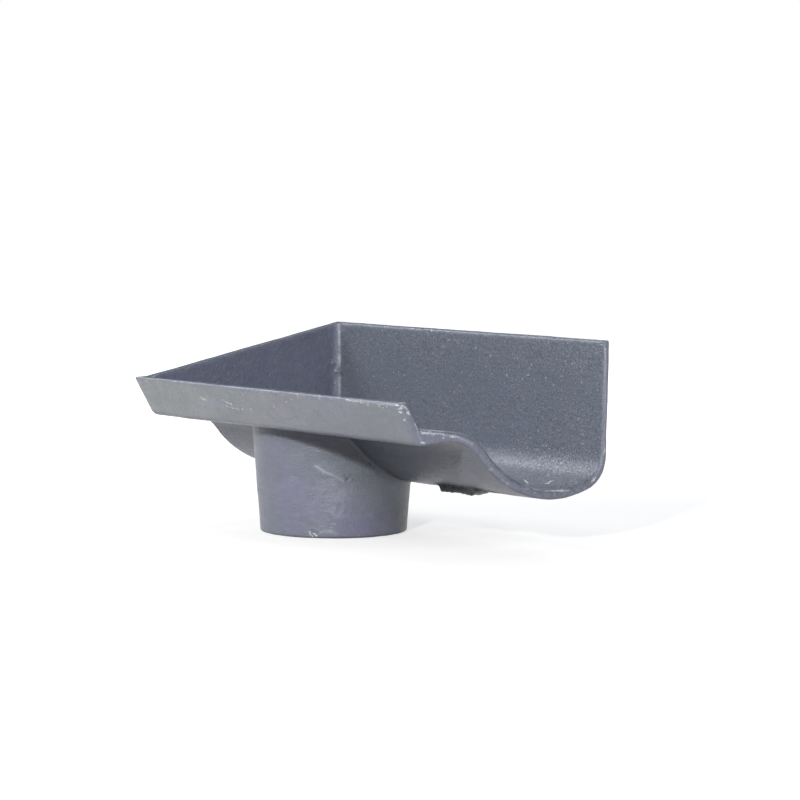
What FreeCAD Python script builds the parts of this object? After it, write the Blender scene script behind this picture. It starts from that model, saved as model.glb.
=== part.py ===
"""Ogee gutter stop end outlet, cast in grey iron in one piece.

Millimetres and degrees. The origin is the centre of the spigot's lower end. +X runs along the
gutter from the stop end to the open end, +Y points to the wall that the gutter hangs on, +Z is up.
"""
import FreeCAD, Part
import Sketcher
import math
import os

V = FreeCAD.Vector

# The driving sizes. Each goes to a cell of the sheet and is used from there.
SIZES = {
    "gutter_width": 115.2,      # lip to back face, across the top
    "back_height": 66.1,        # underside of the sole to the top of the back wall
    "lip_drop": 21.7,           # the front lip lies this much lower than the back wall's top
    "casting_length": 192.0,    # stop end face to open end
    "outlet_from_stop": 73.0,   # stop end face to the outlet's axis
    "outlet_offset": 0.6,       # the outlet's axis lies this far behind the middle of the width
    "fascia_lean": 30.5,        # the fascia leans out this far from upright
    "fascia_wall": 4.8,
    "fascia_corner": 5.0,       # outer radius where the fascia turns under
    "ledge_corner": 5.0,        # inner radius where the fascia meets the ledge
    "ledge_undercut": 4.5,      # slope of the ledge's underside, which leaves a drip edge
    "ledge_fall": 6.0,          # slope of the ledge's top, which sheds water to the sole
    "crest_from_lip": 26.5,     # lip to the centre of the upper curve
    "crest_rise": 27.3,         # underside of the sole to the highest point of the upper curve
    "crest_radius": 24.0,
    "crest_wall": 4.3,
    "sole_offset": 27.9,        # the sole's lowest line lies this far behind the middle of the width
    "sole_wall": 3.9,
    "rear_radius": 14.5,        # outer radius between the sole and the back wall
    "back_lean": 1.5,           # moulding draft of the back wall
    "back_wall": 2.8,
    "stop_wall": 4.5,
    "stop_corner": 4.0,         # inner radius round the stop end
    "rim_bend": 6.0,            # where the stop end's sloping rim meets the level rims
    "spigot_diameter": 65.2,    # outside, at the lower end
    "spigot_drop": 22.3,        # lower end of the spigot to the underside of the sole
    "spigot_draft": 4.5,
    "spigot_wall": 4.6,
    "joint_radius": 1.6,        # between the spigot and the underside
    "mouth_radius": 2.0,        # round the edge of the outlet hole
    "edge_radius": 0.8,         # round the rims and the stop end
    "edge_break": 0.6,          # chamfer at the open end and the spigot's end
    "gate_from_sole": 13.5,     # middle of the stub that the pouring gate left, in front of the lowest line
    "gate_from_open": 22.0,     # open end to the end of the stub that was ground away
    "gate_length": 37.0,
    "gate_width": 9.0,
    "gate_depth": 0.4,          # the stub reaches this far below the sole
    "gate_break": 4.0,          # slant of the stub's broken end
    "gate_run_out": 13.0,       # slant of its ground end
}

# Sizes that follow from those: the outlet and the sole keep their places in a wider or narrower gutter.
DERIVED = {
    "outlet_from_back": "=gutter_width / 2 - outlet_offset",
    "sole_from_lip": "=gutter_width / 2 + sole_offset",
}

doc = FreeCAD.newDocument("gutter_outlet")
sheet = doc.addObject("Spreadsheet::Sheet", "sizes")
for row, (alias, value) in enumerate((SIZES | DERIVED).items(), 1):
    sheet.set("A%d" % row, alias)
    sheet.set("B%d" % row, str(value))
    sheet.setAlias("B%d" % row, alias)
doc.recompute()

body = doc.addObject("PartDesign::Body", "outlet_casting")
body.Label = "outlet_casting"
body.Placement = FreeCAD.Placement()


def size(alias):
    return float(sheet.get(alias))


def new_sketch(name, role, offset=None):
    """A sketch on one of the body's own planes, moved along the plane's normal by an expression."""
    sketch = body.newObject("Sketcher::SketchObject", name)
    plane = [p for p in body.Origin.OriginFeatures if p.Role == role][0]
    sketch.AttachmentSupport = [(plane, "")]
    sketch.MapMode = "FlatFace"
    if offset:
        sketch.setExpression("AttachmentOffset.Base.z", offset)
    return sketch


def bind(sketch, kind, where, start, expression):
    """Adds a dimension with its value now and ties it to the sheet."""
    index = sketch.addConstraint(Sketcher.Constraint(kind, *where, start))
    sketch.setExpression("Constraints[%d]" % index, expression)


def place_point(sketch, where, point, across, up):
    """Holds a point of the sketch at expressions across and up from the origin."""
    bind(sketch, "DistanceX", (-1, 1) + where, point.x, across)
    bind(sketch, "DistanceY", (-1, 1) + where, point.y, up)


# Places that several features share, first as expressions, then as values to draw from.
FRONT = "(sizes.outlet_from_back - sizes.gutter_width)"
TOP = "(sizes.spigot_drop + sizes.back_height)"
LIP = "(%s - sizes.lip_drop)" % TOP
LIP_INSIDE = "(%s + sizes.fascia_wall / cos(sizes.fascia_lean * 1 deg))" % FRONT
BACK_INSIDE = "(sizes.outlet_from_back - sizes.back_wall / cos(sizes.back_lean * 1 deg))"
CREST_ACROSS = "(%s + sizes.crest_from_lip)" % FRONT
CREST_CENTRE = "(sizes.spigot_drop + sizes.crest_rise - sizes.crest_radius)"
SOLE_ACROSS = "(%s + sizes.sole_from_lip)" % FRONT

fascia_lean = math.radians(size("fascia_lean"))
back_lean = math.radians(size("back_lean"))
front = size("outlet_from_back") - size("gutter_width")
back = size("outlet_from_back")
sole = size("spigot_drop")
top = sole + size("back_height")
lip = top - size("lip_drop")
lip_inside = front + size("fascia_wall") / math.cos(fascia_lean)
back_inside = back - size("back_wall") / math.cos(back_lean)
stop_face = -size("outlet_from_stop")
open_end = size("casting_length") + stop_face
crest_centre = V(front + size("crest_from_lip"), sole + size("crest_rise") - size("crest_radius"))


def arc(centre, radius, start, end):
    return Part.ArcOfCircle(Part.Circle(centre, V(0, 0, 1), radius), start, end)


def ogee(sketch, lip_point, back_point, ledge_slope, corner, crest, low, heel, lip_end, back_end):
    """Draws an ogee: fascia, corner, ledge, crest, reverse curve to the sole, heel, back wall.

    lip_point and back_point lie on the fascia's and the back wall's lines, which end at the
    heights lip_end and back_end. corner, crest and heel are radii. low is the sole's height.
    """
    down = V(math.sin(fascia_lean), -math.cos(fascia_lean))
    fascia_side = V(-down.y, down.x)
    ledge_side = V(-math.sin(ledge_slope), math.cos(ledge_slope))
    crest_start = crest_centre + ledge_side * crest
    # The corner's centre lies one radius inside both the fascia's line and the ledge's.
    from_fascia = fascia_side.dot(lip_point) + corner
    from_ledge = ledge_side.dot(crest_start) + corner
    cross = fascia_side.x * ledge_side.y - fascia_side.y * ledge_side.x
    corner_centre = V(
        (from_fascia * ledge_side.y - from_ledge * fascia_side.y) / cross,
        (from_ledge * fascia_side.x - from_fascia * ledge_side.x) / cross,
    )
    # The sole's circle touches the crest's from outside and is lowest at the sole's height.
    run = size("sole_from_lip") - size("crest_from_lip")
    rise = low - crest_centre.y
    sweep = (run ** 2 + rise ** 2 - crest ** 2) / (2 * (crest - rise))
    sweep_centre = V(crest_centre.x + run, low + sweep)
    turn = math.atan2(sweep_centre.y - crest_centre.y, run)
    # The heel's circle touches the sole's from inside, and the back wall.
    wall_down = V(-math.sin(back_lean), -math.cos(back_lean))
    wall_side = V(wall_down.y, -wall_down.x)
    level = back_point + wall_side * heel - sweep_centre
    drop = -wall_down.dot(level)
    drop += math.sqrt(drop ** 2 - level.dot(level) + (sweep - heel) ** 2)
    heel_centre = sweep_centre + level + wall_down * drop
    heel_turn = math.atan2(heel_centre.y - sweep_centre.y, heel_centre.x - sweep_centre.x)

    lip_top = lip_point - down * ((lip_end - lip_point.y) / math.cos(fascia_lean))
    back_top = back_point - wall_down * ((back_end - back_point.y) / math.cos(back_lean))
    ids = dict(zip(("fascia", "corner", "ledge", "crest", "sweep", "heel", "wall"), sketch.addGeometry([
        Part.LineSegment(lip_top, corner_centre - fascia_side * corner),
        arc(corner_centre, corner, math.pi + fascia_lean, 1.5 * math.pi + ledge_slope),
        Part.LineSegment(corner_centre - ledge_side * corner, crest_start),
        arc(crest_centre, crest, turn, math.pi / 2 + ledge_slope),
        arc(sweep_centre, sweep, math.pi + turn, 2 * math.pi + heel_turn),
        arc(heel_centre, heel, 2 * math.pi + heel_turn, 2 * math.pi - back_lean),
        Part.LineSegment(heel_centre - wall_side * heel, back_top),
    ], False)))
    ids["lowest"] = sketch.addGeometry(Part.Point(V(sweep_centre.x, low)), True)
    for first, its_end, second, its_start in (
        ("fascia", 2, "corner", 1), ("corner", 2, "ledge", 1), ("ledge", 2, "crest", 2),
        ("crest", 1, "sweep", 1), ("sweep", 2, "heel", 1), ("heel", 2, "wall", 1),
    ):
        sketch.addConstraint(
            Sketcher.Constraint("Tangent", ids[first], its_end, ids[second], its_start))
    sketch.addConstraint(Sketcher.Constraint("PointOnObject", ids["lowest"], 1, ids["sweep"]))
    bind(sketch, "Angle", (ids["fascia"],), fascia_lean - math.pi / 2, "sizes.fascia_lean - 90")
    bind(sketch, "Angle", (ids["wall"],), math.pi / 2 - back_lean, "90 - sizes.back_lean")
    place_point(sketch, (ids["crest"], 3), crest_centre, CREST_ACROSS, CREST_CENTRE)
    bind(sketch, "DistanceX", (-1, 1, ids["sweep"], 3), sweep_centre.x, SOLE_ACROSS)
    bind(sketch, "DistanceX", (-1, 1, ids["lowest"], 1), sweep_centre.x, SOLE_ACROSS)
    return ids, lip_top, back_top


# The outside, as a block that the rim's line closes over the top.
outside = new_sketch("outside_section", "YZ_Plane", "-sizes.outlet_from_stop")
ids, lip_top, back_top = ogee(
    outside,
    lip_point=V(front, lip),
    back_point=V(back, top),
    ledge_slope=math.radians(size("ledge_undercut")),
    corner=size("fascia_corner"),
    crest=size("crest_radius"),
    low=sole,
    heel=size("rear_radius"),
    lip_end=lip,
    back_end=top,
)
# Over the stop end the rim falls from the back face's top to the lip, with a soft bend at the lip.
bend = size("rim_bend")
low = V(lip_inside + size("edge_radius"), lip)
fall = math.atan2(top - low.y, back - low.x)
tangent_length = bend * math.tan(fall / 2)
low_end = low - V(tangent_length, 0)
slope_end = low + V(math.cos(fall), math.sin(fall)) * tangent_length
slope_rim, low_bend, lip_rim = outside.addGeometry([
    Part.LineSegment(back_top, slope_end),
    arc(low_end + V(0, bend), bend, -math.pi / 2, fall - math.pi / 2),
    Part.LineSegment(low_end, lip_top),
], False)
low_point = outside.addGeometry(Part.Point(low), True)
for pair in ((ids["wall"], 2, slope_rim, 1), (lip_rim, 2, ids["fascia"], 1)):
    outside.addConstraint(Sketcher.Constraint("Coincident", *pair))
for pair in ((slope_rim, 2, low_bend, 2), (low_bend, 1, lip_rim, 1)):
    outside.addConstraint(Sketcher.Constraint("Tangent", *pair))
outside.addConstraint(Sketcher.Constraint("Horizontal", lip_rim))
outside.addConstraint(Sketcher.Constraint("PointOnObject", low_point, 1, slope_rim))
place_point(outside, (low_point, 1), low, "%s + sizes.edge_radius" % LIP_INSIDE, LIP)
bind(outside, "Radius", (low_bend,), bend, "sizes.rim_bend")
place_point(outside, (slope_rim, 1), back_top, "sizes.outlet_from_back", TOP)
place_point(outside, (lip_rim, 2), lip_top, FRONT, LIP)
bind(outside, "Angle", (ids["ledge"],), math.radians(size("ledge_undercut")), "sizes.ledge_undercut")
bind(outside, "Radius", (ids["corner"],), size("fascia_corner"), "sizes.fascia_corner")
bind(outside, "Radius", (ids["crest"],), size("crest_radius"), "sizes.crest_radius")
bind(outside, "Radius", (ids["heel"],), size("rear_radius"), "sizes.rear_radius")
bind(outside, "DistanceY", (-1, 1, ids["lowest"], 1), sole, "sizes.spigot_drop")
block = body.newObject("PartDesign::Pad", "block")
block.Profile = outside
block.setExpression("Length", "sizes.casting_length")
doc.recompute()


def points_along(edge):
    first, last = edge.ParameterRange
    return [edge.valueAt(first + (last - first) * share) for share in (0, 0.25, 0.5, 0.75, 1)]


def edges_where(feature, test):
    """Names a feature's edges that pass a test at five points along them."""
    return [
        "Edge%d" % number
        for number, edge in enumerate(feature.Shape.Edges, 1)
        if all(test(point) for point in points_along(edge))
    ]


def treat_edges(kind, name, feature, test, width):
    """Rounds or chamfers the edges of a feature that pass a test."""
    treated = body.newObject("PartDesign::%s" % kind, name)
    treated.Base = (feature, edges_where(feature, test))
    treated.setExpression("Radius" if kind == "Fillet" else "Size", "sizes.%s" % width)
    doc.recompute()
    return treated


def near(a, b):
    return abs(a - b) < 0.01


def lies_on(outline, p):
    return Part.Vertex(p).distToShape(outline)[0] < 0.01


# The spigot widens upwards with its draft and ends inside the ledge's wall.
spigot_circle = new_sketch("spigot_circle", "XY_Plane")
spigot_circle.addGeometry(Part.Circle(V(0, 0), V(0, 0, 1), size("spigot_diameter") / 2), False)
spigot_circle.addConstraint(Sketcher.Constraint("Coincident", 0, 3, -1, 1))
bind(spigot_circle, "Diameter", (0,), size("spigot_diameter"), "sizes.spigot_diameter")
spigot = body.newObject("PartDesign::Pad", "spigot")
spigot.Profile = spigot_circle
spigot.setExpression("Length", "sizes.spigot_drop + sizes.crest_rise + sizes.crest_wall / 2")
spigot.setExpression("TaperAngle", "sizes.spigot_draft")
doc.recompute()


def on_cone(p, tip_radius):
    draft = math.tan(math.radians(size("spigot_draft")))
    return near(math.hypot(p.x, p.y), tip_radius + p.z * draft)


outer_tip = size("spigot_diameter") / 2
inner_tip = outer_tip - size("spigot_wall")
treat_edges("Fillet", "spigot_joint", spigot,
            lambda p: on_cone(p, outer_tip) and p.z > sole / 2, "joint_radius")

# The stub of the pouring gate, snapped off and ground almost level with the sole, in front of it.
GATE_FAR = "sizes.casting_length - sizes.outlet_from_stop - sizes.gate_from_open"
GATE_NEAR = "%s - sizes.gate_length" % GATE_FAR
GATE_LOW = "sizes.spigot_drop - sizes.gate_depth"
GATE_ROOT = "sizes.spigot_drop + sizes.sole_wall"
gate_far = open_end - size("gate_from_open")
gate_near = gate_far - size("gate_length")
gate_low = sole - size("gate_depth")
gate_root = sole + size("sole_wall")
gate_outline = new_sketch("gate_outline", "XZ_Plane", "-(%s - sizes.gate_from_sole)" % SOLE_ACROSS)
gate_points = (
    (gate_near, gate_root, GATE_NEAR, GATE_ROOT),
    (gate_near + size("gate_break"), gate_low, "%s + sizes.gate_break" % GATE_NEAR, GATE_LOW),
    (gate_far - size("gate_run_out"), gate_low, "%s - sizes.gate_run_out" % GATE_FAR, GATE_LOW),
    (gate_far, gate_root, GATE_FAR, GATE_ROOT),
)
gate_outline.addGeometry([
    Part.LineSegment(V(a[0], a[1]), V(b[0], b[1]))
    for a, b in zip(gate_points, gate_points[1:] + gate_points[:1])
], False)
for index, (x, z, across, up) in enumerate(gate_points):
    following = (index + 1) % len(gate_points)
    gate_outline.addConstraint(Sketcher.Constraint("Coincident", index, 2, following, 1))
    place_point(gate_outline, (index, 1), V(x, z), across, up)
gate = body.newObject("PartDesign::Pad", "gate_stub")
gate.Profile = gate_outline
gate.Midplane = True
gate.setExpression("Length", "sizes.gate_width")

# The channel: an ogee one wall further in, cut from the stop end's wall out through the open end.
OPEN_ABOVE = 6.0
channel_section = new_sketch(
    "channel_section", "YZ_Plane", "sizes.stop_wall - sizes.outlet_from_stop")
ids, lip_top, back_top = ogee(
    channel_section,
    lip_point=V(lip_inside, lip),
    back_point=V(back_inside, top),
    ledge_slope=-math.radians(size("ledge_fall")),
    corner=size("ledge_corner"),
    crest=size("crest_radius") + size("crest_wall"),
    low=sole + size("sole_wall"),
    heel=size("rear_radius") - size("sole_wall"),
    lip_end=top + OPEN_ABOVE,
    back_end=top + OPEN_ABOVE,
)
cover = channel_section.addGeometry(Part.LineSegment(back_top, lip_top), False)
channel_section.addConstraint(Sketcher.Constraint("Coincident", ids["wall"], 2, cover, 1))
channel_section.addConstraint(Sketcher.Constraint("Coincident", cover, 2, ids["fascia"], 1))
channel_section.addConstraint(Sketcher.Constraint("Horizontal", cover))
bind(channel_section, "Angle", (ids["ledge"],), -math.radians(size("ledge_fall")), "-sizes.ledge_fall")
bind(channel_section, "Radius", (ids["corner"],), size("ledge_corner"), "sizes.ledge_corner")
bind(channel_section, "Radius", (ids["crest"],), size("crest_radius") + size("crest_wall"),
     "sizes.crest_radius + sizes.crest_wall")
bind(channel_section, "Radius", (ids["heel"],), size("rear_radius") - size("sole_wall"),
     "sizes.rear_radius - sizes.sole_wall")
bind(channel_section, "DistanceY", (-1, 1, ids["lowest"], 1), sole + size("sole_wall"),
     "sizes.spigot_drop + sizes.sole_wall")
bind(channel_section, "DistanceY", (-1, 1, cover, 1), top + OPEN_ABOVE, "%s + %s" % (TOP, OPEN_ABOVE))
for line, point, across, up in (
    (ids["fascia"], V(lip_inside, lip), LIP_INSIDE, LIP),
    (ids["wall"], V(back_inside, top), BACK_INSIDE, TOP),
):
    rim_point = channel_section.addGeometry(Part.Point(point), True)
    channel_section.addConstraint(Sketcher.Constraint("PointOnObject", rim_point, 1, line))
    place_point(channel_section, (rim_point, 1), point, across, up)
channel = body.newObject("PartDesign::Pocket", "channel")
channel.Profile = channel_section
channel.Reversed = True
channel.setExpression("Length", "sizes.casting_length")
doc.recompute()

channel_start = stop_face + size("stop_wall")
channel_outline = channel_section.Shape
treat_edges("Fillet", "stop_fillet", channel, lambda p: lies_on(channel_outline, p), "stop_corner")

# The outlet hole has the spigot's draft, so the spigot's wall keeps its thickness.
bore_circle = new_sketch("bore_circle", "XY_Plane")
bore_circle.addGeometry(Part.Circle(V(0, 0), V(0, 0, 1), inner_tip), False)
bore_circle.addConstraint(Sketcher.Constraint("Coincident", 0, 3, -1, 1))
bind(bore_circle, "Diameter", (0,), 2 * inner_tip, "sizes.spigot_diameter - 2 * sizes.spigot_wall")
bore = body.newObject("PartDesign::Pocket", "bore")
bore.Profile = bore_circle
bore.Reversed = True
bore.setExpression("Length", "sizes.spigot_drop + sizes.crest_rise + 2 * sizes.crest_wall")
bore.setExpression("TaperAngle", "sizes.spigot_draft")
doc.recompute()
mouth = treat_edges("Fillet", "outlet_mouth", bore,
                    lambda p: on_cone(p, inner_tip) and p.z > sole / 2, "mouth_radius")

# The rims and the stop end's outer edge are a little round, as the sand leaves them.
outer_outline = outside.Shape


def on_rounded_edge(p):
    at_stop = V(stop_face, p.y, p.z)
    if near(p.x, stop_face):
        return lies_on(outer_outline, at_stop)
    inside_rim = lip_inside - 0.01 < p.y < back_inside + 0.01 and p.x > channel_start - 0.01
    top_edge = near(p.y, front) or near(p.y, back) or inside_rim
    return top_edge and p.z > lip - 0.01 and not near(p.x, open_end) and lies_on(outer_outline, at_stop)


rims = treat_edges("Fillet", "rims", mouth, on_rounded_edge, "edge_radius")

# The open end and the spigot's end are dressed flat, and their edges are broken.
treat_edges("Chamfer", "dressed_ends", rims, lambda p: near(p.x, open_end) or near(p.z, 0), "edge_break")

for item in doc.Objects:
    if "Invalid" in item.State or "Error" in item.State:
        raise RuntimeError("%s is %s" % (item.Name, item.State))
if body.Shape.isNull() or not body.Shape.isValid():
    raise RuntimeError("the casting's shape is not valid")
for feature in body.Group:
    if feature.isDerivedFrom("PartDesign::Feature"):
        print("%-14s %9.0f mm3" % (feature.Name, feature.Shape.Volume))

os.makedirs("parts", exist_ok=True)
body.Shape.exportStep("parts/outlet_casting.step")
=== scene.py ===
# %% [markdown]
# # A gutter stop end outlet in painted cast iron
# This lesson dresses one casting, the end piece of an ogee gutter with a round outlet under it. The
# CAD model gives its true shape. Blender adds what a foundry, a grinder and a paint brush leave on
# such a piece. Everything is in metres, with the origin in the middle of the spigot's lower end.
# %% Load the casting
import bmesh
import bpy
import math
import numpy as np
from mathutils import Matrix, Vector, kdtree, noise
from mathutils.bvhtree import BVHTree


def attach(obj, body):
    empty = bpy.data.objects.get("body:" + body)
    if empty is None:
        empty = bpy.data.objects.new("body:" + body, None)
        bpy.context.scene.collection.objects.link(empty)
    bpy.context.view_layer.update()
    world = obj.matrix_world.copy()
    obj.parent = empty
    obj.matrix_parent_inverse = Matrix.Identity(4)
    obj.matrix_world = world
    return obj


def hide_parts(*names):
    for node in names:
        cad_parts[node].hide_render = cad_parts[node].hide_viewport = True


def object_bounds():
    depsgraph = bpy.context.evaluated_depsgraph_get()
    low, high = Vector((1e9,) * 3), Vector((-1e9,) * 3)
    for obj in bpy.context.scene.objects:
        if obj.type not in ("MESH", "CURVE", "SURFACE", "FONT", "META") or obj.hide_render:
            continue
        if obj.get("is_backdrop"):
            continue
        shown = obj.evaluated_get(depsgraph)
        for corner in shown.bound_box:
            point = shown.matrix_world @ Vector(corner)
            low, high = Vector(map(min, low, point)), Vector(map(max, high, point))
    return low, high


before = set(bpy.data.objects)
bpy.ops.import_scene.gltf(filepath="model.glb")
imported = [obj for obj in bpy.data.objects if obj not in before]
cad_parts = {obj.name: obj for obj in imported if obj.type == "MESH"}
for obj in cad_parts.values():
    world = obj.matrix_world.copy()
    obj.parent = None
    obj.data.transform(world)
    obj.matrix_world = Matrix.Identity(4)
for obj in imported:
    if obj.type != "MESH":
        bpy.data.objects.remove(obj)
cad_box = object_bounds()
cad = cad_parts["outlet_casting"]
MM = 0.001
print("casting, mm:", [round((high - low) / MM, 1) for low, high in zip(*cad_box)])

# %% [markdown]
# ## The camera
# A long lens flattens perspective, which is how a small product is usually photographed. The
# camera's turn, height and distance were fitted to the casting's corners. They are given here as
# angles, a lens and the place in the picture where the origin falls, and the rest is worked out.
# %% Which way the lens looks
TURN, DIP, ROLL = 0.903032, 0.076891, 0.003321  # radians: round the object, downwards, about the lens

level = Vector((-math.sin(TURN), math.cos(TURN), 0))
ahead = level * math.cos(DIP) - Vector((0, 0, math.sin(DIP)))
side = Vector((math.cos(TURN), math.sin(TURN), 0))
above = side.cross(ahead)
right = side * math.cos(ROLL) + above * math.sin(ROLL)
up = above * math.cos(ROLL) - side * math.sin(ROLL)
print("the lens looks along", [round(c, 3) for c in ahead])

# %% Where the camera stands
PICTURE = 800                     # pixels across and down
MIDDLE = PICTURE / 2
FOCAL = 2958.919                  # the lens, in the same pixels
ORIGIN_SEEN = (333.647, 529.709)  # where the origin falls, pixels from the upper left
DISTANCE = 1.319569               # from the lens to the origin, along the view
SENSOR = 36                       # width in mm of the sensor that the lens is stated for

eye = -(ahead * DISTANCE
        + right * (ORIGIN_SEEN[0] - MIDDLE) / FOCAL * DISTANCE
        + up * (MIDDLE - ORIGIN_SEEN[1]) / FOCAL * DISTANCE)

scene = bpy.context.scene
camera_data = bpy.data.cameras.new("camera")
camera_data.sensor_width = SENSOR
camera_data.lens = FOCAL / PICTURE * SENSOR
camera = bpy.data.objects.new("camera", camera_data)
camera.matrix_world = Matrix((
    (right.x, up.x, -ahead.x, eye.x),
    (right.y, up.y, -ahead.y, eye.y),
    (right.z, up.z, -ahead.z, eye.z),
    (0, 0, 0, 1),
))
scene.collection.objects.link(camera)
scene.camera = camera
print("camera at", [round(c, 3) for c in eye], "with a lens of", round(camera_data.lens, 1), "mm")

# %% [markdown]
# ## The skin of the casting
# The CAD mesh has long thin triangles, and a surface can only be dented where it has points. A
# voxel remesh covers it with even squares under a millimetre wide, like the grains of the sand
# mould. A shrinkwrap then lays every point back on the true surface, so no size is lost.
# %% Even skin over the casting
CELL = 0.75 * MM
SOFTEN, SOFTEN_TIMES = 0.5, 2  # how far a point goes to the middle of its neighbours, and how often

casting = bpy.data.objects.new("painted_casting", cad.data.copy())
scene.collection.objects.link(casting)


def apply_modifiers():
    depsgraph = bpy.context.evaluated_depsgraph_get()
    mesh = bpy.data.meshes.new_from_object(casting.evaluated_get(depsgraph))
    casting.modifiers.clear()
    casting.data = mesh
    return mesh


cells = casting.modifiers.new("even cells", "REMESH")
cells.mode = "VOXEL"
cells.voxel_size = CELL
soften = casting.modifiers.new("soften the steps", "SMOOTH")
soften.factor = SOFTEN
soften.iterations = SOFTEN_TIMES
wrap = casting.modifiers.new("back to size", "SHRINKWRAP")
wrap.target = cad
wrap.wrap_method = "NEAREST_SURFACEPOINT"
skin = apply_modifiers()
print("fine skin:", len(skin.vertices), "points")

# %% [markdown]
# ## The skin as numbers
# Thousands of points are moved faster as one array than one by one. So the skin's points and the way
# that each one faces are read into arrays, worked on there, and written back.
# %% Read and move the skin
def read_skin():
    """The skin's points, and the way that each one faces, as rows of x, y and z."""
    arrays = []
    for collection, name in ((skin.vertices, "co"), (skin.vertex_normals, "vector")):
        values = np.zeros(len(collection) * 3, np.float32)
        collection.foreach_get(name, values)
        arrays.append(values.reshape(-1, 3).astype(float))
    return arrays


def move_skin(shift):
    """Moves each point of the skin by its own row of the shift, in metres."""
    skin.vertices.foreach_set("co", (points + shift).astype(np.float32).ravel())
    skin.update()


points, normals = read_skin()
print("middle of the skin, mm:", [round(float(c) / MM, 1) for c in points.mean(0)])

# %% [markdown]
# ## Waves of the sand mould
# Rammed sand gives a little under the iron, so no face is dead flat. A texture could only pretend
# this in the shading. Here the points themselves move by three sizes of soft noise, each a small
# part of a millimetre high, so that the outline and the highlights both break up.
# %% Soft waves
# length in mm, height in mm, and place in the noise
WAVES = ((18, 0.16, 3.1), (6, 0.08, 7.7), (2.4, 0.045, 4.9))


def waves(length_mm, seed):
    """Soft noise about nought at each point of the skin."""
    start = Vector((seed, 2 * seed, 3 * seed))
    return np.array([noise.noise(Vector(p) + start) for p in points / (length_mm * MM)])


lift = sum(height * waves(length, seed) for length, height, seed in WAVES)
print("waves of up to", round(float(np.abs(lift).max()), 2), "mm")

# %% [markdown]
# ## The rough stub
# The iron was poured in under the sole, near the open end. The stub that it left was only snapped
# off and ground, so it is the roughest place of the casting. It gets a coarse noise of its own,
# sunk a little so that its peaks stay close to the CAD solid's face.
# %% Rough stub
STUB_BOX = ((57, 99), (7.5, 20), (17, 27))  # round the stub, along, across and up, in mm
STUB_FADE = 2                               # mm inside the box over which the roughness comes up
STUB_FACING = -0.25                         # a face that looks down this much or more is all rough
STUB_GRAIN, STUB_SEED = 2.6, 5.3            # width of the grain in mm, and its place in the noise
STUB_HEIGHT, STUB_SHIFT = 0.8, -0.35        # height and shift outwards in mm


def ramp(values, nought, one, least=0, most=1):
    """0 at nought and 1 at one, in a straight line, kept between least and most."""
    return np.clip((values - nought) / (one - nought), least, most)


def near_stub(mm):
    """1 on the pouring stub under the sole, 0 elsewhere."""
    share = np.ones(len(mm))
    for column, (low, high) in enumerate(STUB_BOX):
        share *= ramp(mm[:, column], low, low + STUB_FADE) * ramp(mm[:, column], high, high - STUB_FADE)
    return share


stub = near_stub(points / MM) * ramp(normals[:, 2], 0, STUB_FACING)
lift += stub * (STUB_HEIGHT * waves(STUB_GRAIN, STUB_SEED) + STUB_SHIFT)
move_skin(normals * lift[:, None] * MM)
print("points moved by up to", round(float(np.abs(lift).max()), 2), "mm")

# %% [markdown]
# ## Fewer triangles on the flats
# Small triangles matter on edges and marks and are wasted on flat iron. A decimate modifier takes
# out the points that change the shape least, and the waves and edges stay.
# %% Thin the skin out
MOST_TRIANGLES = 130000

thin = casting.modifiers.new("fewer triangles", "DECIMATE")
thin.ratio = MOST_TRIANGLES / (2 * len(skin.polygons))
skin = apply_modifiers()
points, normals = read_skin()
print("thinned skin:", len(points), "points,", sum(len(p.vertices) - 2 for p in skin.polygons), "triangles")

# %% [markdown]
# ## Neighbours
# Much of what follows is blurred along the skin, so that it has no hard border. A point's value is
# averaged with those of the points that share an edge with it, as often as the blur has to be wide.
# %% Blur along the skin
pairs = np.zeros(len(skin.edges) * 2, np.int32)
skin.edges.foreach_get("vertices", pairs)
pairs = pairs.reshape(-1, 2)
neighbours = np.bincount(pairs.ravel(), minlength=len(points))[:, None]


def spread(values, times):
    """Averages values over each point's neighbours, which blurs them along the skin."""
    blurred = np.asarray(values, float).reshape(len(points), -1)
    for _ in range(times):
        total = blurred.copy()
        for column in range(blurred.shape[1]):
            for here, there in ((0, 1), (1, 0)):
                total[:, column] += np.bincount(pairs[:, here], blurred[pairs[:, there], column], len(points))
        blurred = total / (neighbours + 1)
    return blurred.reshape(np.shape(values))


print("neighbours of a point:", round(float(neighbours.mean()), 1))

# %% [markdown]
# ## Edges and hollows
# Paint wears off on edges that stand out, and hollows are painted darker. An edge is where a point stands out
# of the middle of its neighbours, and a hollow is where it lies below that.
# %% Measure edges and hollows
EDGE_FROM, EDGE_FULL = 0.1, 0.3           # mm that a point stands out
HOLLOW_FROM, HOLLOW_FULL = -0.04, -0.19
MARKED = 0.3                              # counted as an edge or a hollow from here on

standing = np.einsum("ij,ij->i", points - spread(points, 2), spread(normals, 2)) / MM
bending = spread(standing, 2)
edge = ramp(bending, EDGE_FROM, EDGE_FULL)
hollow = ramp(bending, HOLLOW_FROM, HOLLOW_FULL)
print("edge points:", int((edge > MARKED).sum()), " hollow points:", int((hollow > MARKED).sum()))

# %% [markdown]
# ## Shelter
# Painted shade goes where the casting hides a point. Shelter is measured with a fan of rays from each point:
# the more of them hit the casting again within a few centimetres, the more sheltered it is.
# %% Measure shelter
REACH = 35 * MM           # how far a ray looks for iron
OFF_SKIN = 0.6            # mm from the skin to the ray's start, so that it doesn't hit its own face
RAYS_UP = (0.3, 0.9)      # radians above the skin
RAY_STEP = math.pi / 3    # from one ray to the next, round the point

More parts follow.
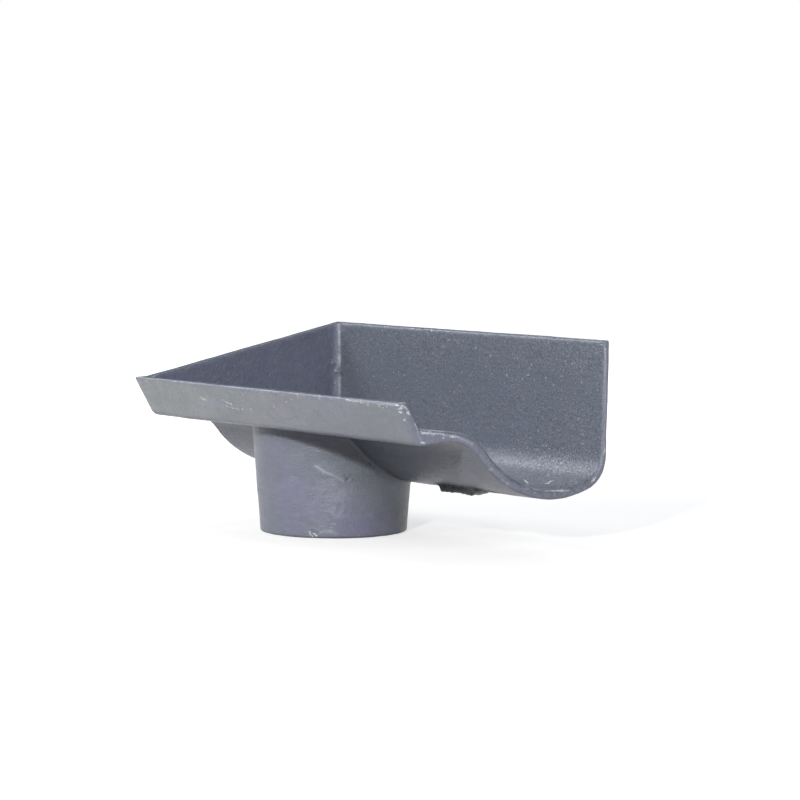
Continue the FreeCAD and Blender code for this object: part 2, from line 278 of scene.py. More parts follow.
solid = BVHTree.FromPolygons([v.co.copy() for v in cad.data.vertices],
                             [tuple(p.vertices) for p in cad.data.polygons])
fan = [Vector((math.cos(a) * math.cos(b), math.sin(a) * math.cos(b), math.sin(b)))
       for b in RAYS_UP for a in np.arange(0, 2 * math.pi, RAY_STEP)] + [Vector((0, 0, 1))]
shelter = np.zeros(len(points))
for index, normal in enumerate(map(Vector, normals)):
    turn = normal.to_track_quat("Z", "Y")
    start = Vector(points[index]) + normal * OFF_SKIN * MM
    shelter[index] = sum(solid.ray_cast(start, turn @ ray, REACH)[0] is not None for ray in fan) / len(fan)
shelter = spread(shelter, 3)
print("rays at each point:", len(fan), " mean shelter:", round(float(shelter.mean()), 2))

# %% [markdown]
# ## The places of the casting
# Each place is coloured in its own way. The inside of the channel and the inside of the stop end are painted
# darker, as painted shade, the stop end's more violet, and the fascia is painted lighter, as painted light. A
# place is found by where its points lie in the section and by the way that they face.
# %% Find the places
x, y, z = (points / MM).T   # along the gutter, across it and up, in mm
facing_x, facing_y, facing_z = normals.T   # 1 where a face looks fully that way, -1 where it looks away

CHANNEL_LOW = 23      # the channel's inside is higher than this, mm up
RIM_ACROSS = 56       # and further forward than the rear rim's far corner, mm across
WALL_ACROSS = 44      # the rear wall is further back than this
WALL_LOW = 30         # and its upright part is higher than this
STOP_ALONG = -60      # the stop end is further left than this, mm along
END_ALONG = 117       # and the open end's face further right than this
END_HIGH = 45         # below this, the open end's face is dusty, mm up
FASCIA_ACROSS = -44   # the fascia is further forward than this
A_LITTLE, PARTLY, MOSTLY = 0.12, 0.5, 0.8   # how far a face looks some way
FASCIA_FORWARD, FASCIA_DOWN = 0.7, 0.35     # and the fascia, which leans

trough = (facing_z > A_LITTLE) & (z > CHANNEL_LOW) & (y < RIM_ACROSS)
wall_inside = (facing_y < -PARTLY) & (y > WALL_ACROSS) & (z > WALL_LOW)
channel = trough | wall_inside
stop_inside = (facing_x > PARTLY) & (x < STOP_ALONG)
end_face = (facing_x > MOSTLY) & (x > END_ALONG) & (z < END_HIGH)
fascia = (facing_y < -FASCIA_FORWARD) & (facing_z < -FASCIA_DOWN) & (y < FASCIA_ACROSS)
print("points in the channel:", int(channel.sum()), " on the fascia:", int(fascia.sum()))

# %% [markdown]
# ## Sand and painted shade
# The sand's grain shows most low down in the channel near its open end, less on the end's face and hardly
# inside the stop end. Painted shade lies on the sheltered underside, thinner to the left of the spigot, and a
# painted contact shade runs along the spigot's lower end.
# %% How sandy and how shaded each point is
SAND_ALONG, SAND_UP = (50, 90), (42, 34)  # the grain gets rougher between these, mm along and mm up
SAND_LOW, SAND_HIGH = 2.2, 0.3            # how much rougher, low down and at any height
STOP_SAND, END_SAND = 0.15, 1.2           # inside the stop end, and on the open end's face
SHADE_FROM, SHADE_FULL = -45, -25           # the painted shade thins out between these, mm along
LEAST_SHADE, SHADE_DOWN = 0.15, 0.4         # left of that, and added on a face that looks down
DOWN_FROM, DOWN_FULL = -0.2, -1.2         # how far it has to look down for that
SHELTER_FROM, SHELTER_FULL = 0.1, 0.45    # the share of rays that makes a point shaded
MOST_SHELTER, MOST_FOOT = 1.8, 2          # how much painted shade there may be
FOOT, FOOT_FULL = 1.2, 0.7                # height in mm of the painted contact shade along the spigot's lower end

to_open_end = ramp(x, *SAND_ALONG)
rough = 1 + SAND_LOW * to_open_end * ramp(z, *SAND_UP) + SAND_HIGH * to_open_end
sand = np.where(stop_inside, STOP_SAND, np.where(end_face, END_SAND, channel * rough))
looking_down = ramp(facing_z, DOWN_FROM, DOWN_FULL)
# painted shade under the casting: more where rays find iron and where a face looks down, less left of the
# spigot
under_shade = ramp(shelter, SHELTER_FROM, SHELTER_FULL, most=MOST_SHELTER) + SHADE_DOWN * looking_down
under_shade *= ramp(x, SHADE_FROM, SHADE_FULL, LEAST_SHADE)
# painted contact shade along the spigot's lower end
foot_shade = ramp(z, FOOT, FOOT_FULL, most=MOST_FOOT)
print("mean sand:", round(float(sand.mean()), 2), " mean dirt below:", round(float(under_shade.mean()), 2))

# %% [markdown]
# ## What the paint needs to know
# The material can't measure the casting, so it reads these numbers at each point of the skin. The mesh keeps
# each one as an attribute with a name. The fascia's painted light is strongest at its left end, and the
# channel's own shelter counts little, because its painted shade is a coat of its own.
# %% Store the numbers on the skin
SHELTER_INSIDE = 0.1
LIGHT_LEFT, LIGHT_RIGHT, LEAST_LIGHT = -70, 130, 0.25  # full painted light on the fascia and none, mm along, and the least of it

inside = spread(channel | stop_inside, 2)
stored = {
    "edge": edge,
    # hollows, and the painted contact shade at the spigot's foot
    "hollow": np.maximum(hollow, foot_shade),
    "inside": inside,
    "sand": spread(sand, 2),
    "stop": spread(stop_inside, 2),
    "stub": near_stub(points / MM),
    "shelter": SHELTER_INSIDE * shelter * inside + (1 - inside) * under_shade,
    # the fascia's painted light, strongest at its left end
    "front": spread(fascia * ramp(x, LIGHT_RIGHT, LIGHT_LEFT, LEAST_LIGHT), 2),
}


def store(name, values):
    skin.attributes.new(name, "FLOAT", "POINT").data.foreach_set("value", values.astype(np.float32))


for name, values in stored.items():
    store(name, values)
print("stored:", ", ".join(stored))

# %% [markdown]
# ## Marks by the picture
# Nicks, chips and scratches are no use at random places: they are what makes this piece this one.
# Each is noted by the places in the picture that it runs through. A dent is pressed in and may hold dirt. A
# rub is a paler line or patch: rubbed paint in some places, and a painted highlight along rims and on the
# spigot in others. A chip shows bare iron. Each row gives the kind, half the width in mm, the depth in mm,
# the strength, and pixels across and down, pair by pair.
# %% Nicks and dents in the rims, the spigot and the stop end
DENTS = (
    ("dent", 0.7, 0.6, 0, (428, 332)), ("dent", 0.8, 1.3, 0, (555.5, 337)),
    ("dent", 1.2, 0.5, 0, (136.5, 384)), ("dent", 0.9, 0.5, 0.8, (219.5, 431)),
    ("dent", 0.8, 0.9, 0.5, (258, 489)), ("dent", 0.6, 0.3, 0.9, (346, 479, 348.5, 477.5)),
    ("dent", 0.35, 0.15, 0.8, (350, 474)), ("dent", 0.35, 0.15, 0.7, (344, 476)),
    ("dent", 0.35, 0.15, 0.7, (352, 479)), ("dent", 0.5, 0.2, 0.7, (369, 462, 371, 464)),
    ("dent", 0.35, 0.1, 0.7, (362, 459.5)), ("dent", 0.5, 0.1, 0.4, (346, 363)),
    ("dent", 0.5, 0.2, 0.4, (311, 531, 314, 532.5)), ("dent", 1.1, 0.4, 0.5, (341, 374.5)),
    ("dent", 0.9, -0.4, 0.4, (336, 371)), ("dent", 1.0, -0.3, 0, (333, 363)),
    ("dent", 0.8, 0.3, 0, (388, 407)), ("dent", 1.6, -0.12, 0, (328, 519.5)),
)
print(len(DENTS), "dents, and those with a depth below nought stand out")

# %% [markdown]
# The lip is the thinnest edge, and it is knocked whenever the piece is put down on its front. A thin, even
# painted highlight runs along its inner top edge, brighter towards the right, and the right end is chipped.
# %% Wear along the lip
LIP_LEFT = (
    # the first row is a painted highlight along the lip's inner top edge
    ("rub_and_highlight", 0.4, 0.0, 0.3, (139, 377.6, 152, 377.6, 170, 380.6, 240, 388.6, 300, 394.6, 345, 399.4)),
    ("rub_and_highlight", 1.0, 0.0, 0.5, (140, 380, 150, 379.5)), ("chip", 0.3, 0.05, 1.0, (141.5, 379.3)),
    ("chip", 0.35, 0.05, 0.9, (146, 381)), ("chip", 0.3, 0.05, 1.0, (150.5, 379.2)),
    ("chip", 0.3, 0.05, 0.9, (156, 381)), ("chip", 0.3, 0.05, 1.0, (262, 391.3)),
    ("chip", 0.3, 0.05, 1.0, (281, 393.2)), ("chip", 0.3, 0.05, 1.0, (297, 395.2)),
    ("chip", 0.35, 0.05, 1.0, (318, 397.3)), ("chip", 0.3, 0.05, 1.0, (331, 398.7)),
    ("chip", 0.3, 0.05, 1.0, (352, 402)), ("chip", 0.35, 0.05, 1.0, (361, 403)),
)
LIP_EDGE = (345, 399.4, 361, 401.4, 385, 404.0, 402, 405.3, 407, 409, 409.5, 414)
LIP_RIGHT = (
    # the rub along the lip's edge is a painted highlight
    ("rub_and_highlight", 0.5, 0.0, 0.9, LIP_EDGE), ("chip", 0.4, 0.04, 0.62, LIP_EDGE),
    ("chip", 0.45, 0.1, 1.0, (378.3, 405.5)), ("chip", 0.3, 0.1, 1.0, (382.5, 407)),
    ("chip", 0.5, 0.1, 0.8, (367.5, 404.5)), ("chip", 0.5, 0.1, 0.8, (386, 406.2)),
    ("rub_and_highlight", 1.0, 0.0, 0.5, (355, 403)), ("chip", 0.45, 0.1, 0.9, (399.5, 408, 401.5, 407.6)),
    ("chip", 0.3, 0.1, 1.0, (397.3, 408.7)), ("chip", 0.25, 0.1, 1.0, (394.5, 408.7)),
    ("chip", 0.5, 0.1, 0.9, (399, 411.5, 401, 411.7)), ("chip", 0.5, 0.1, 1.0, (404, 419.5)),
    ("chip", 0.6, 0.15, 0.9, (406.5, 412.3, 408.5, 412.8)),
    ("rub_and_highlight", 0.4, 0.0, 0.8, (412.5, 418, 416, 426, 421, 441)),
    ("chip", 0.3, 0.05, 0.9, (414.5, 422, 416, 426)),
)
print(len(LIP_LEFT) + len(LIP_RIGHT), "marks along the lip")

# %% [markdown]
# The open end's corners are sharp, so the paint over them is thin. A painted highlight runs along the top of
# its face, with bright iron in chips there, and in a few short scratches and pale specks on the sole.
# %% Wear at the open end
END_TOP = (420.5, 431.6, 430, 432.6, 443, 433.8)
OPEN_END_TOP = (
    # the rubs here are a painted highlight along the face's upper edge
    ("rub_and_highlight", 0.4, 0.0, 1.0, (*END_TOP, 458, 436.9)), ("chip", 0.6, 0.1, 0.75, (422, 432.4, 428, 433)),
    ("chip", 0.35, 0.0, 0.7, END_TOP), ("chip", 0.45, 0.1, 0.75, (443, 435, 443, 437)),
    ("chip", 0.4, 0.05, 0.8, (450, 435.6, 454, 436.2, 458, 436.8)),
    ("rub_and_highlight", 0.4, 0.0, 1.0, (458, 436.9, 463, 439.3, 471, 442.8)),
    ("chip", 0.5, 0.2, 0.8, (421, 442, 424, 442.6)),
)
OPEN_END_SOLE = (
    ("rub_and_highlight", 0.7, -0.1, 0.9, (489, 469.3, 491, 469.2)), ("rub_and_highlight", 0.7, -0.1, 0.9, (502.5, 480)),
    ("rub_and_highlight", 0.7, -0.1, 0.9, (505.5, 483.3, 508, 483.3)),
    ("chip", 0.4, 0.1, 1.2, (524.5, 479.8, 526.4, 482, 528, 483.5)),
    ("rub_and_highlight", 1.3, 0.0, 0.7, (526, 485, 536, 487)),
    ("chip", 0.4, 0.0, 0.95, (533, 488.3, 540, 489.3, 546, 489.9, 560, 490)),
    ("rub_and_highlight", 0.5, 0.0, 0.9, (546, 489.9, 558, 490.2, 568, 490)), ("chip", 0.6, 0.0, 0.7, (562, 489.5)),
    ("chip", 0.35, 0.1, 1.5, (546.3, 483, 549, 481.6, 552.3, 480.2)),
)
print(len(OPEN_END_TOP) + len(OPEN_END_SOLE), "marks at the open end")

# %% [markdown]
# The fascia has two curved scratches and a handful of specks. On the spigot, a broad painted highlight is
# drawn as three wide and weak rubs, and its lower end is knocked.
# %% Scratches on the fascia and the spigot
FASCIA_MARKS = (
    ("chip", 0.8, 0.05, 0.6, (200.5, 397.5, 204, 398.6, 206, 400)),
    ("rub_and_highlight", 3.0, 0.0, 0.5, (203, 404, 214, 402, 222, 406)),
    ("chip", 0.32, 0.06, 0.8, (219, 397, 222, 399.6, 224.5, 401.6, 228, 402.6, 231.5, 404.5)),
    ("chip", 0.32, 0.06, 0.8, (225, 404.8, 229, 406.8, 234, 408, 239, 408.7)),
    ("chip", 0.55, 0.05, 0.8, (242, 408.7)), ("chip", 0.65, 0.05, 0.85, (250.5, 409)),
    ("chip", 0.55, 0.05, 0.8, (274, 406)), ("chip", 0.5, 0.1, 1.0, (286, 401.6)),
    ("chip", 0.45, 0.05, 0.6, (290, 398.6)), ("chip", 0.5, 0.05, 0.55, (242, 394)),
    ("rub_and_highlight", 0.9, 0.0, 0.6, (214, 398)), ("rub_and_highlight", 0.6, 0.0, 0.7, (205, 419.6, 240, 423.3, 262, 426.3)),
)
SPIGOT_MARKS = (
    # the first three rubs are one broad painted highlight
    ("rub_and_highlight", 5.0, 0.0, 0.38, (331, 482)), ("rub_and_highlight", 5.0, 0.0, 0.42, (337, 496)),
    ("rub_and_highlight", 5.0, 0.0, 0.38, (336, 512)),
    ("rub_and_highlight", 0.5, 0.1, 1.0, (315, 465.5, 318, 467, 322, 469.7, 326, 471.6, 331, 474, 334, 475.5)),
    ("rub_and_highlight", 0.6, 0.05, 0.4, (334, 475.5, 343, 480.5)),
    ("chip", 0.4, 0.15, 0.8, (309, 531, 310, 534, 312, 535.6)),
    ("chip", 0.45, 0.1, 0.8, (313.6, 533, 316, 535)),
    ("rub_and_highlight", 0.7, -0.05, 0.8, (320, 532, 329, 531, 335, 533)),
    ("rub_and_highlight", 0.5, 0.1, 0.8, (331, 523, 335, 523.3)), ("rub_and_highlight", 0.5, 0.1, 0.6, (331, 527)),
    ("rub_and_highlight", 0.6, 0.1, 0.6, (328, 519.5)),
)
print(len(FASCIA_MARKS), "marks on the fascia,", len(SPIGOT_MARKS), "on the spigot")

# %% [markdown]
# A thin painted highlight runs along the rear wall's end and along its rim, with a few chips. Another, paler
# and brighter, stands in the corner between the wall and the stop end.
# %% Wear on the rear wall
WALL_MARKS = (
    # the rubs along the wall's end, its rim and the corner are painted highlights
    ("rub_and_highlight", 0.35, 0.0, 0.8, (602.5, 343, 605, 350, 605.2, 365, 605, 390, 604.7, 415, 604.2, 438, 603.6, 450)),
    ("chip", 0.35, 0.0, 0.9, (605.4, 349)), ("chip", 0.35, 0.0, 0.8, (604.2, 447, 603.9, 452)),
    ("rub_and_highlight", 0.6, 0.0, 0.6, (603.6, 450, 601, 466, 596, 475)),
    ("chip", 0.4, 0.1, 0.9, (591.6, 481, 595, 477)), ("chip", 0.6, 0.1, 0.8, (430.3, 330.5)),
    ("chip", 0.5, 0.1, 0.8, (555.5, 338)), ("rub_and_highlight", 0.6, 0.1, 0.8, (443, 346)),
    ("rub_and_highlight", 0.6, 0.1, 0.5, (458, 339.5)),
    ("rub_and_highlight", 0.5, 0.0, 0.5, (345, 324.5, 420, 329.4, 520, 336.6, 600, 341.6)),
    ("rub_and_highlight", 0.7, 0.0, 1.3, (338.3, 324, 338.6, 333)), ("rub_and_highlight", 0.6, 0.0, 0.9, (338.6, 333, 338.8, 353)),
    ("rub_and_highlight", 0.7, 0.0, 1.3, (338.8, 354, 338.8, 363)), ("rub_and_highlight", 0.6, 0.0, 1.0, (339, 378, 339.5, 396)),
)
MARKS = (*DENTS, *LIP_LEFT, *LIP_RIGHT, *OPEN_END_TOP, *FASCIA_MARKS, *SPIGOT_MARKS,
         *OPEN_END_SOLE, *WALL_MARKS)
print(len(WALL_MARKS), "marks on the rear wall,", len(MARKS), "in all")

# %% [markdown]
# ## From the picture to the iron
# A pixel is a direction from the lens. A ray sent that way finds the iron that lies there, so a mark
# noted in the picture gets its place on the casting. A mark with more than one place is walked along
# in short steps, and each step is a point of it.
# %% Find the marks
RIM = 3 * MM            # a ray that goes past a rim hits iron at least this much further back
LOWER = (0, 0.6, 1.2)   # pixels that a ray is lowered by, to find a rim that the mark just misses
STEP = 0.4              # pixels from one point of a mark to the next


def seen_at(across, down):
    """The casting's point that the lens sees there. A ray that just misses a rim is tried a little lower."""
    found = []
    for lower in LOWER:
        ray = ahead + right * ((across + 0.5 - MIDDLE) / FOCAL) + up * ((MIDDLE - down - lower - 0.5) / FOCAL)
        where, _, _, distance = solid.ray_cast(eye, ray.normalized())
        if where is not None and (not found or distance < found[0] - RIM):
            found = [distance, where]
    return found[1] if found else None


marks = {"dent": [], "rub_and_highlight": [], "chip": []}
missed = 0
for kind, half_width, depth, strength, places in MARKS:
    places = np.array(places, float).reshape(-1, 2)
    run = [places[:1]]
    for start, end in zip(places, places[1:]):
        steps = int(np.linalg.norm(end - start) / STEP) + 1
        run.append(start + (end - start) * np.arange(1, steps + 1)[:, None] / steps)
    for across, down in np.concatenate(run):
        where = seen_at(across, down)
        if where is None:
            missed += 1
        else:
            marks[kind].append((where, half_width * MM, depth * MM, strength))
print({kind: len(found) for kind, found in marks.items()}, "points on marks,", missed, "off the casting")

# %% [markdown]
# ## A finer skin at the marks
# A scratch is narrower than the skin's triangles. Cutting all of them finer would make the mesh far
# too heavy, so only the edges near a mark are cut in half, until they are short enough. The numbers
# stored before are carried over to the new points.
# %% Cut the skin finer
FINE = 0.4 * MM   # an edge near a mark that is longer than this is halved
CUTS = 3          # how often the edges are gone through
CUT_WITHIN = 2    # how near to a mark, in its half widths

near = {}
for kind, found in marks.items():
    near[kind] = kdtree.KDTree(len(found))
    for number, mark in enumerate(found):
        near[kind].insert(mark[0], number)
    near[kind].balance()


def at_mark(kind, place):
    """Distance to the nearest mark of a kind in its own half widths, with that mark."""
    _, number, distance = near[kind].find(place)
    return distance / marks[kind][number][1], marks[kind][number]


shape = bmesh.new()
shape.from_mesh(skin)
for _ in range(CUTS):
    long_edges = [e for e in shape.edges if e.calc_length() > FINE and any(
        at_mark(kind, (e.verts[0].co + e.verts[1].co) / 2)[0] < CUT_WITHIN for kind in marks)]
    bmesh.ops.subdivide_edges(shape, edges=long_edges, cuts=1)
bmesh.ops.triangulate(shape, faces=shape.faces)
shape.to_mesh(skin)
shape.free()
print("skin:", len(skin.vertices), "points,", len(skin.polygons), "triangles")

# %% [markdown]
# ## Press the marks in
# Each point near a mark is pressed in by the mark's depth, in a soft bell shape, and learns how much
# of its paint is rubbed, chipped or full of dirt.
# %% Press in and store the marks
FELT_WITHIN = 3   # half widths, beyond which the bell is too low to matter

skin.materials.clear()
skin.polygons.foreach_set("use_smooth", np.ones(len(skin.polygons), bool))
skin.update()
points, normals = read_skin()
press = np.zeros(len(points))
for kind in marks:
    strength_here = np.zeros(len(points))
    for index, place in enumerate(points):
        away, (_, _, depth, strength) = at_mark(kind, place)
        if away < FELT_WITHIN:
            share = math.exp(-away ** 2)
            press[index] += depth * share
            strength_here[index] = strength * share
    store(kind, strength_here)
move_skin(-normals * press[:, None])
print("pressed in by up to", round(float(press.max()) / MM, 2), "mm")

# %% [markdown]
# ## Oil paint on sand-cast grey iron
# Grey iron cast in sand has a skin like fine orange peel. Slate grey oil paint lies over it in a
# satin coat, so the light shows the sand's grit under soft highlights. Dry paint has an index of
# refraction near 1.5, and brushed satin oil paint a roughness of about 0.4.
# %% Colours of the paint, the painted light and shade, the dirt and the iron
PAINT = "#7e8391"       # slate grey oil paint
VIOLET = "#8582a2"      # the paint's own drift in hue from one brushful
GREEN = "#7a8a8d"       # to the next
CHALK_AND_LIGHT = "#b2b6b4"       # chalky streaks, and painted light on the front
DULL_PAINT_AND_SHADE = "#676e7b"  # dull dabs, and painted shade inside the channel
STOP_SHADE = "#5e6174"  # painted shade, darker and more violet, inside the stop end
RUBBED_AND_HIGHLIGHT = "#a7aabb"      # paint rubbed thin, and painted highlights and glints
DUST_AND_SHADE = "#3c3e3d"        # dust specks, and painted shade under the casting
HOLLOW_DARK = "#3e3f4e"       # darker in hollows, and painted contact shade at the spigot's foot
SOOT = "#1d1e20"        # the burnt sand on the pouring stub
IRON = "#c6c8cc"        # bare iron, scraped bright


def linear(hex_code):
    """An sRGB hex colour as the linear values that Blender works with."""
    parts = [int(hex_code[i:i + 2], 16) / 255 for i in (1, 3, 5)]
    return [c / 12.92 if c <= 0.04045 else ((c + 0.055) / 1.055) ** 2.4 for c in parts] + [1.0]


print("slate grey in linear light:", [round(c, 3) for c in linear(PAINT)[:3]])

# %% [markdown]
# A node material is a chain: places on the casting go in, patterns and colours are made of them, and
# the shader comes last. One small function adds a node and joins it up, so that each line below
# reads as one step of the paint.
# %% A new material and how a node is added
paint = bpy.data.materials.new("oil paint on sand cast grey iron")
paint.use_nodes = True
tree = paint.node_tree
tree.nodes.clear()


def add(kind, sockets=None, out=0, **settings):
    """Adds a node. A socket takes a value or another node's output, and out names the output handed back."""
    node = tree.nodes.new(kind)
    for name, value in settings.items():
        setattr(node, name, value)
    for name, value in (sockets or {}).items():
        if isinstance(value, bpy.types.NodeSocket):
            tree.links.new(value, node.inputs[name])
        else:
            node.inputs[name].default_value = value
    return node.outputs[out] if node.outputs else node


FLAT = 4   # a brush mark lies flat and is this many times as long as high

on_casting = add("ShaderNodeTexCoord", out="Object")
strokes = add("ShaderNodeMapping", {"Vector": on_casting, "Scale": (1, 1, FLAT)})
print("patterns lie in the casting's own metres")

# %% [markdown]
# ## Patterns in real sizes
# Every pattern is noise with spots of a real size. The scale of a noise is how many spots go into a
# metre, so it is one divided by the spot's width. The places and marks stored on the skin are read
# beside them, under their own names.
# %% Patterns and stored numbers
# name: where, width of its spots in mm, detail, roughness
PATTERNS = {
    "clouds": (on_casting, 24, 4, 0.55),   # how thickly each brushful went on
    "patches": (on_casting, 5, 4, 0.6),    # brush dabs
    "brush": (strokes, 7, 4, 0.65),        # bristle marks about a millimetre apart
    "peel": (on_casting, 2.2, 3, 0.55),    # the orange peel of the sand skin
    "grit": (on_casting, 0.8, 3, 0.6),     # sand grains of about 0.3 mm, drawn over twice as coarse to show
    "specks": (on_casting, 1.3, 2, 0.5),   # pinholes and grains that stick out
    "chips": (on_casting, 1.1, 4, 0.7),    # the ragged outline of a chip
}
known = {}
for name, (where, width, detail, roughness) in PATTERNS.items():
    known[name] = add("ShaderNodeTexNoise", {"Vector": where, "Scale": 1 / (width * MM), "Detail": detail,
                                             "Roughness": roughness}, "Fac")
for name in (*stored, *marks):
    known[name] = add("ShaderNodeAttribute", out="Fac", attribute_name=name)
print("patterns:", ", ".join(PATTERNS))

# %% [markdown]
# ## Coat upon coat
# Old paint is never one colour. Its look is built in layers: the brushed paint first, then painted light on
# the fascia and painted shade in the channel, the stop end and under the casting, then darker hollows, grains
# and painted glints, then rubbed marks and painted highlights, the stub and the dents. Each row mixes one
# more colour over those before it, and a pattern says where it is thick. Most rows count only where a stored
# number is high.
# %% Coats from the paint up to the dirt
# coat, its pattern, the pattern's low and high end, how much coat there, and what it is scaled by
COATS = (
    # the paint itself, then painted light on the fascia, lighter towards its left end, with pale and dark
    # specks
    (VIOLET, "clouds", 0.48, 0.7, 0.12, 0.65, None),
    (GREEN, "clouds", 0.3, 0.46, 0.4, 0.0, None),
    (CHALK_AND_LIGHT, "clouds", 0.35, 0.7, 0.5, 1.0, "front"),
    (DULL_PAINT_AND_SHADE, "brush", 0.35, 0.6, 0.1, 0.0, None),
    (CHALK_AND_LIGHT, "brush", 0.5, 0.72, 0.0, 0.12, None),
    (CHALK_AND_LIGHT, "peel", 0.5, 0.7, 0.0, 0.25, "front"),
    (RUBBED_AND_HIGHLIGHT, "specks", 0.63, 0.7, 0.0, 1.0, "front"),
    (DUST_AND_SHADE, "grit", 0.32, 0.45, 0.45, 0.0, "front"),
    # painted shade in the channel and inside the stop end, and dull dabs everywhere
    (DULL_PAINT_AND_SHADE, "clouds", 0.3, 0.7, 0.88, 1.0, "inside"),
    (STOP_SHADE, "patches", 0.3, 0.7, 0.4, 1.0, "stop"),
    (DULL_PAINT_AND_SHADE, "patches", 0.35, 0.6, 0.24, 0.0, None),
    # painted shade under the casting, darker hollows, and the sand's dark grains
    (DUST_AND_SHADE, "clouds", 0.3, 0.7, 0.48, 0.68, "shelter"),
    (HOLLOW_DARK, "patches", 0.35, 0.65, 0.15, 0.4, "hollow"),
    (DUST_AND_SHADE, "grit", 0.34, 0.47, 0.42, 0.0, "sand"),
    # the pale grit and specks on the sand are painted glints
    (RUBBED_AND_HIGHLIGHT, "grit", 0.56, 0.68, 0.0, 0.2, "sand"),
    (RUBBED_AND_HIGHLIGHT, "specks", 0.66, 0.74, 0.0, 0.8, "sand"),
    # rubbed marks and painted highlights, the burnt stub and dirt in the dents
    (RUBBED_AND_HIGHLIGHT, "peel", 0.35, 0.6, 0.3, 1.0, "rub_and_highlight"),
    (SOOT, "peel", 0.35, 0.75, 1.0, 0.95, "stub"),
    (SOOT, "peel", 0.3, 0.7, 0.8, 0.4, "dent"),
)
UNDER, OVER, MIXED = 6, 7, 2  # a colour Mix node's sockets, by number because they share names

colour = linear(PAINT)
for coat, pattern, low, high, at_low, at_high, scaled_by in COATS:
    share = add("ShaderNodeMapRange", {"Value": known[pattern], "From Min": low, "From Max": high,
                                       "To Min": at_low, "To Max": at_high}, "Result")
    if scaled_by:
        share = add("ShaderNodeMath", {0: share, 1: known[scaled_by]}, operation="MULTIPLY", use_clamp=True)
    colour = add("ShaderNodeMix", {0: share, UNDER: colour, OVER: linear(coat)}, MIXED, data_type="RGBA")
print("coats over the slate grey:", len(COATS))

# %% [markdown]
# ## Bare iron
# A chip has a ragged outline, because paint breaks off in flakes. So the chip's strength and a noise
# are added up, and iron shows only where the sum passes a limit. Edges lose a little paint too.
# %% Iron at edges and chips
# where, its weight beside the noise, the limit's low and high end, and the most iron that shows
WORN = (("edge", 0.4, 0.86, 0.96, 0.45), ("chip", 0.55, 0.66, 0.78, 1.0))

for worn, weight, low, high, most in WORN:
    ragged = add("ShaderNodeMath", {0: known[worn], 1: weight, 2: known["chips"]}, operation="MULTIPLY_ADD")
    share = add("ShaderNodeMapRange", {"Value": ragged, "From Min": low, "From Max": high, "To Max": most},
                "Result")
    colour = add("ShaderNodeMix", {0: share, UNDER: colour, OVER: linear(IRON)}, MIXED, data_type="RGBA")
print("iron shows at:", ", ".join(row[0] for row in WORN))

# %% [markdown]
# ## Grain and gloss
# The peel and the grit are too fine for the mesh, so they are bump: the shader tilts the light as if
# the surface rose and fell by their height. The channel's grain is a little stronger. The gloss
# changes from dab to dab, from paint that hands have polished to plain satin.
# %% Bump, roughness and shader
PEEL_HEIGHT, GRIT_HEIGHT = 0.3 * MM, 0.3 * MM
PLAIN_GRAIN, SANDY_GRAIN = 0.95, 1.0   # strength of the bump
POLISHED, SATIN = 0.27, 0.42           # roughness
DAB_LOW, DAB_HIGH = 0.3, 0.7           # the ends of the dabs' noise that are polished and satin
PAINT_IOR = 1.5

grain = add("ShaderNodeMapRange", {"Value": known["sand"], "To Min": PLAIN_GRAIN, "To Max": SANDY_GRAIN},
            "Result")
surface = None
for pattern, height in (("peel", PEEL_HEIGHT), ("grit", GRIT_HEIGHT)):
    sockets = {"Height": known[pattern], "Strength": grain, "Distance": height}
    if surface:
        sockets["Normal"] = surface
    surface = add("ShaderNodeBump", sockets)
sheen = add("ShaderNodeMapRange", {"Value": known["patches"], "From Min": DAB_LOW, "From Max": DAB_HIGH,
                                   "To Min": POLISHED, "To Max": SATIN}, "Result")
shader = add("ShaderNodeBsdfPrincipled", {"Base Color": colour, "Roughness": sheen, "Normal": surface,
                                          "IOR": PAINT_IOR})
add("ShaderNodeOutputMaterial", {"Surface": shader})
casting.data.materials.append(paint)
print("paint:", len(tree.nodes), "nodes")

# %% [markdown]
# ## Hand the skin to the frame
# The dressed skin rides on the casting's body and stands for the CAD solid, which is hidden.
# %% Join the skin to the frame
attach(casting, "root")
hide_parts("outlet_casting")
print("dressed:", casting.name)

# %% [markdown]
# ## Floor and background
# The piece stands on its spigot on a plain pale table. The lens and reflections see the table as
# white paper, with only a faint shadow near the piece, and everything else gets the light that a
# pale grey table throws back up. A light path node tells the two kinds of ray apart.
# %% White table
TABLE, PAPER = "#8f8e8c", "#bcbcbb"   # as the casting sees it, and as the lens sees it
GLOW = 0.62                           # near the casting, to bring the lit paper up to white
GLOW_NEAR, GLOW_FAR = 0.25, 0.6       # metres from the middle, between which the glow goes up to 1
TABLE_SIZE = 12

bpy.ops.mesh.primitive_plane_add(size=TABLE_SIZE, location=(0, 0, 0))
table = bpy.context.object
table.name = "table"
white = bpy.data.materials.new("white table top")
white.use_nodes = True
tree = white.node_tree
tree.nodes.clear()
matt = add("ShaderNodeBsdfDiffuse", {"Color": linear(TABLE)})
far = add("ShaderNodeVectorMath", {0: add("ShaderNodeTexCoord", out="Object")}, "Value", operation="LENGTH")
glow = add("ShaderNodeMapRange", {"Value": far, "From Min": GLOW_NEAR, "From Max": GLOW_FAR,
                                  "To Min": GLOW, "To Max": 1.0}, "Result")
lit = add("ShaderNodeAddShader", {0: add("ShaderNodeBsdfDiffuse", {"Color": linear(PAPER)}),
                                  1: add("ShaderNodeEmission", {"Strength": glow})})
seen = add("ShaderNodeLightPath", out="Is Camera Ray")
for ray in ("Is Glossy Ray", "Is Transmission Ray"):
    seen = add("ShaderNodeMath", {0: seen, 1: add("ShaderNodeLightPath", out=ray)}, operation="MAXIMUM")
shown = add("ShaderNodeMixShader", {0: seen, 1: matt, 2: lit})
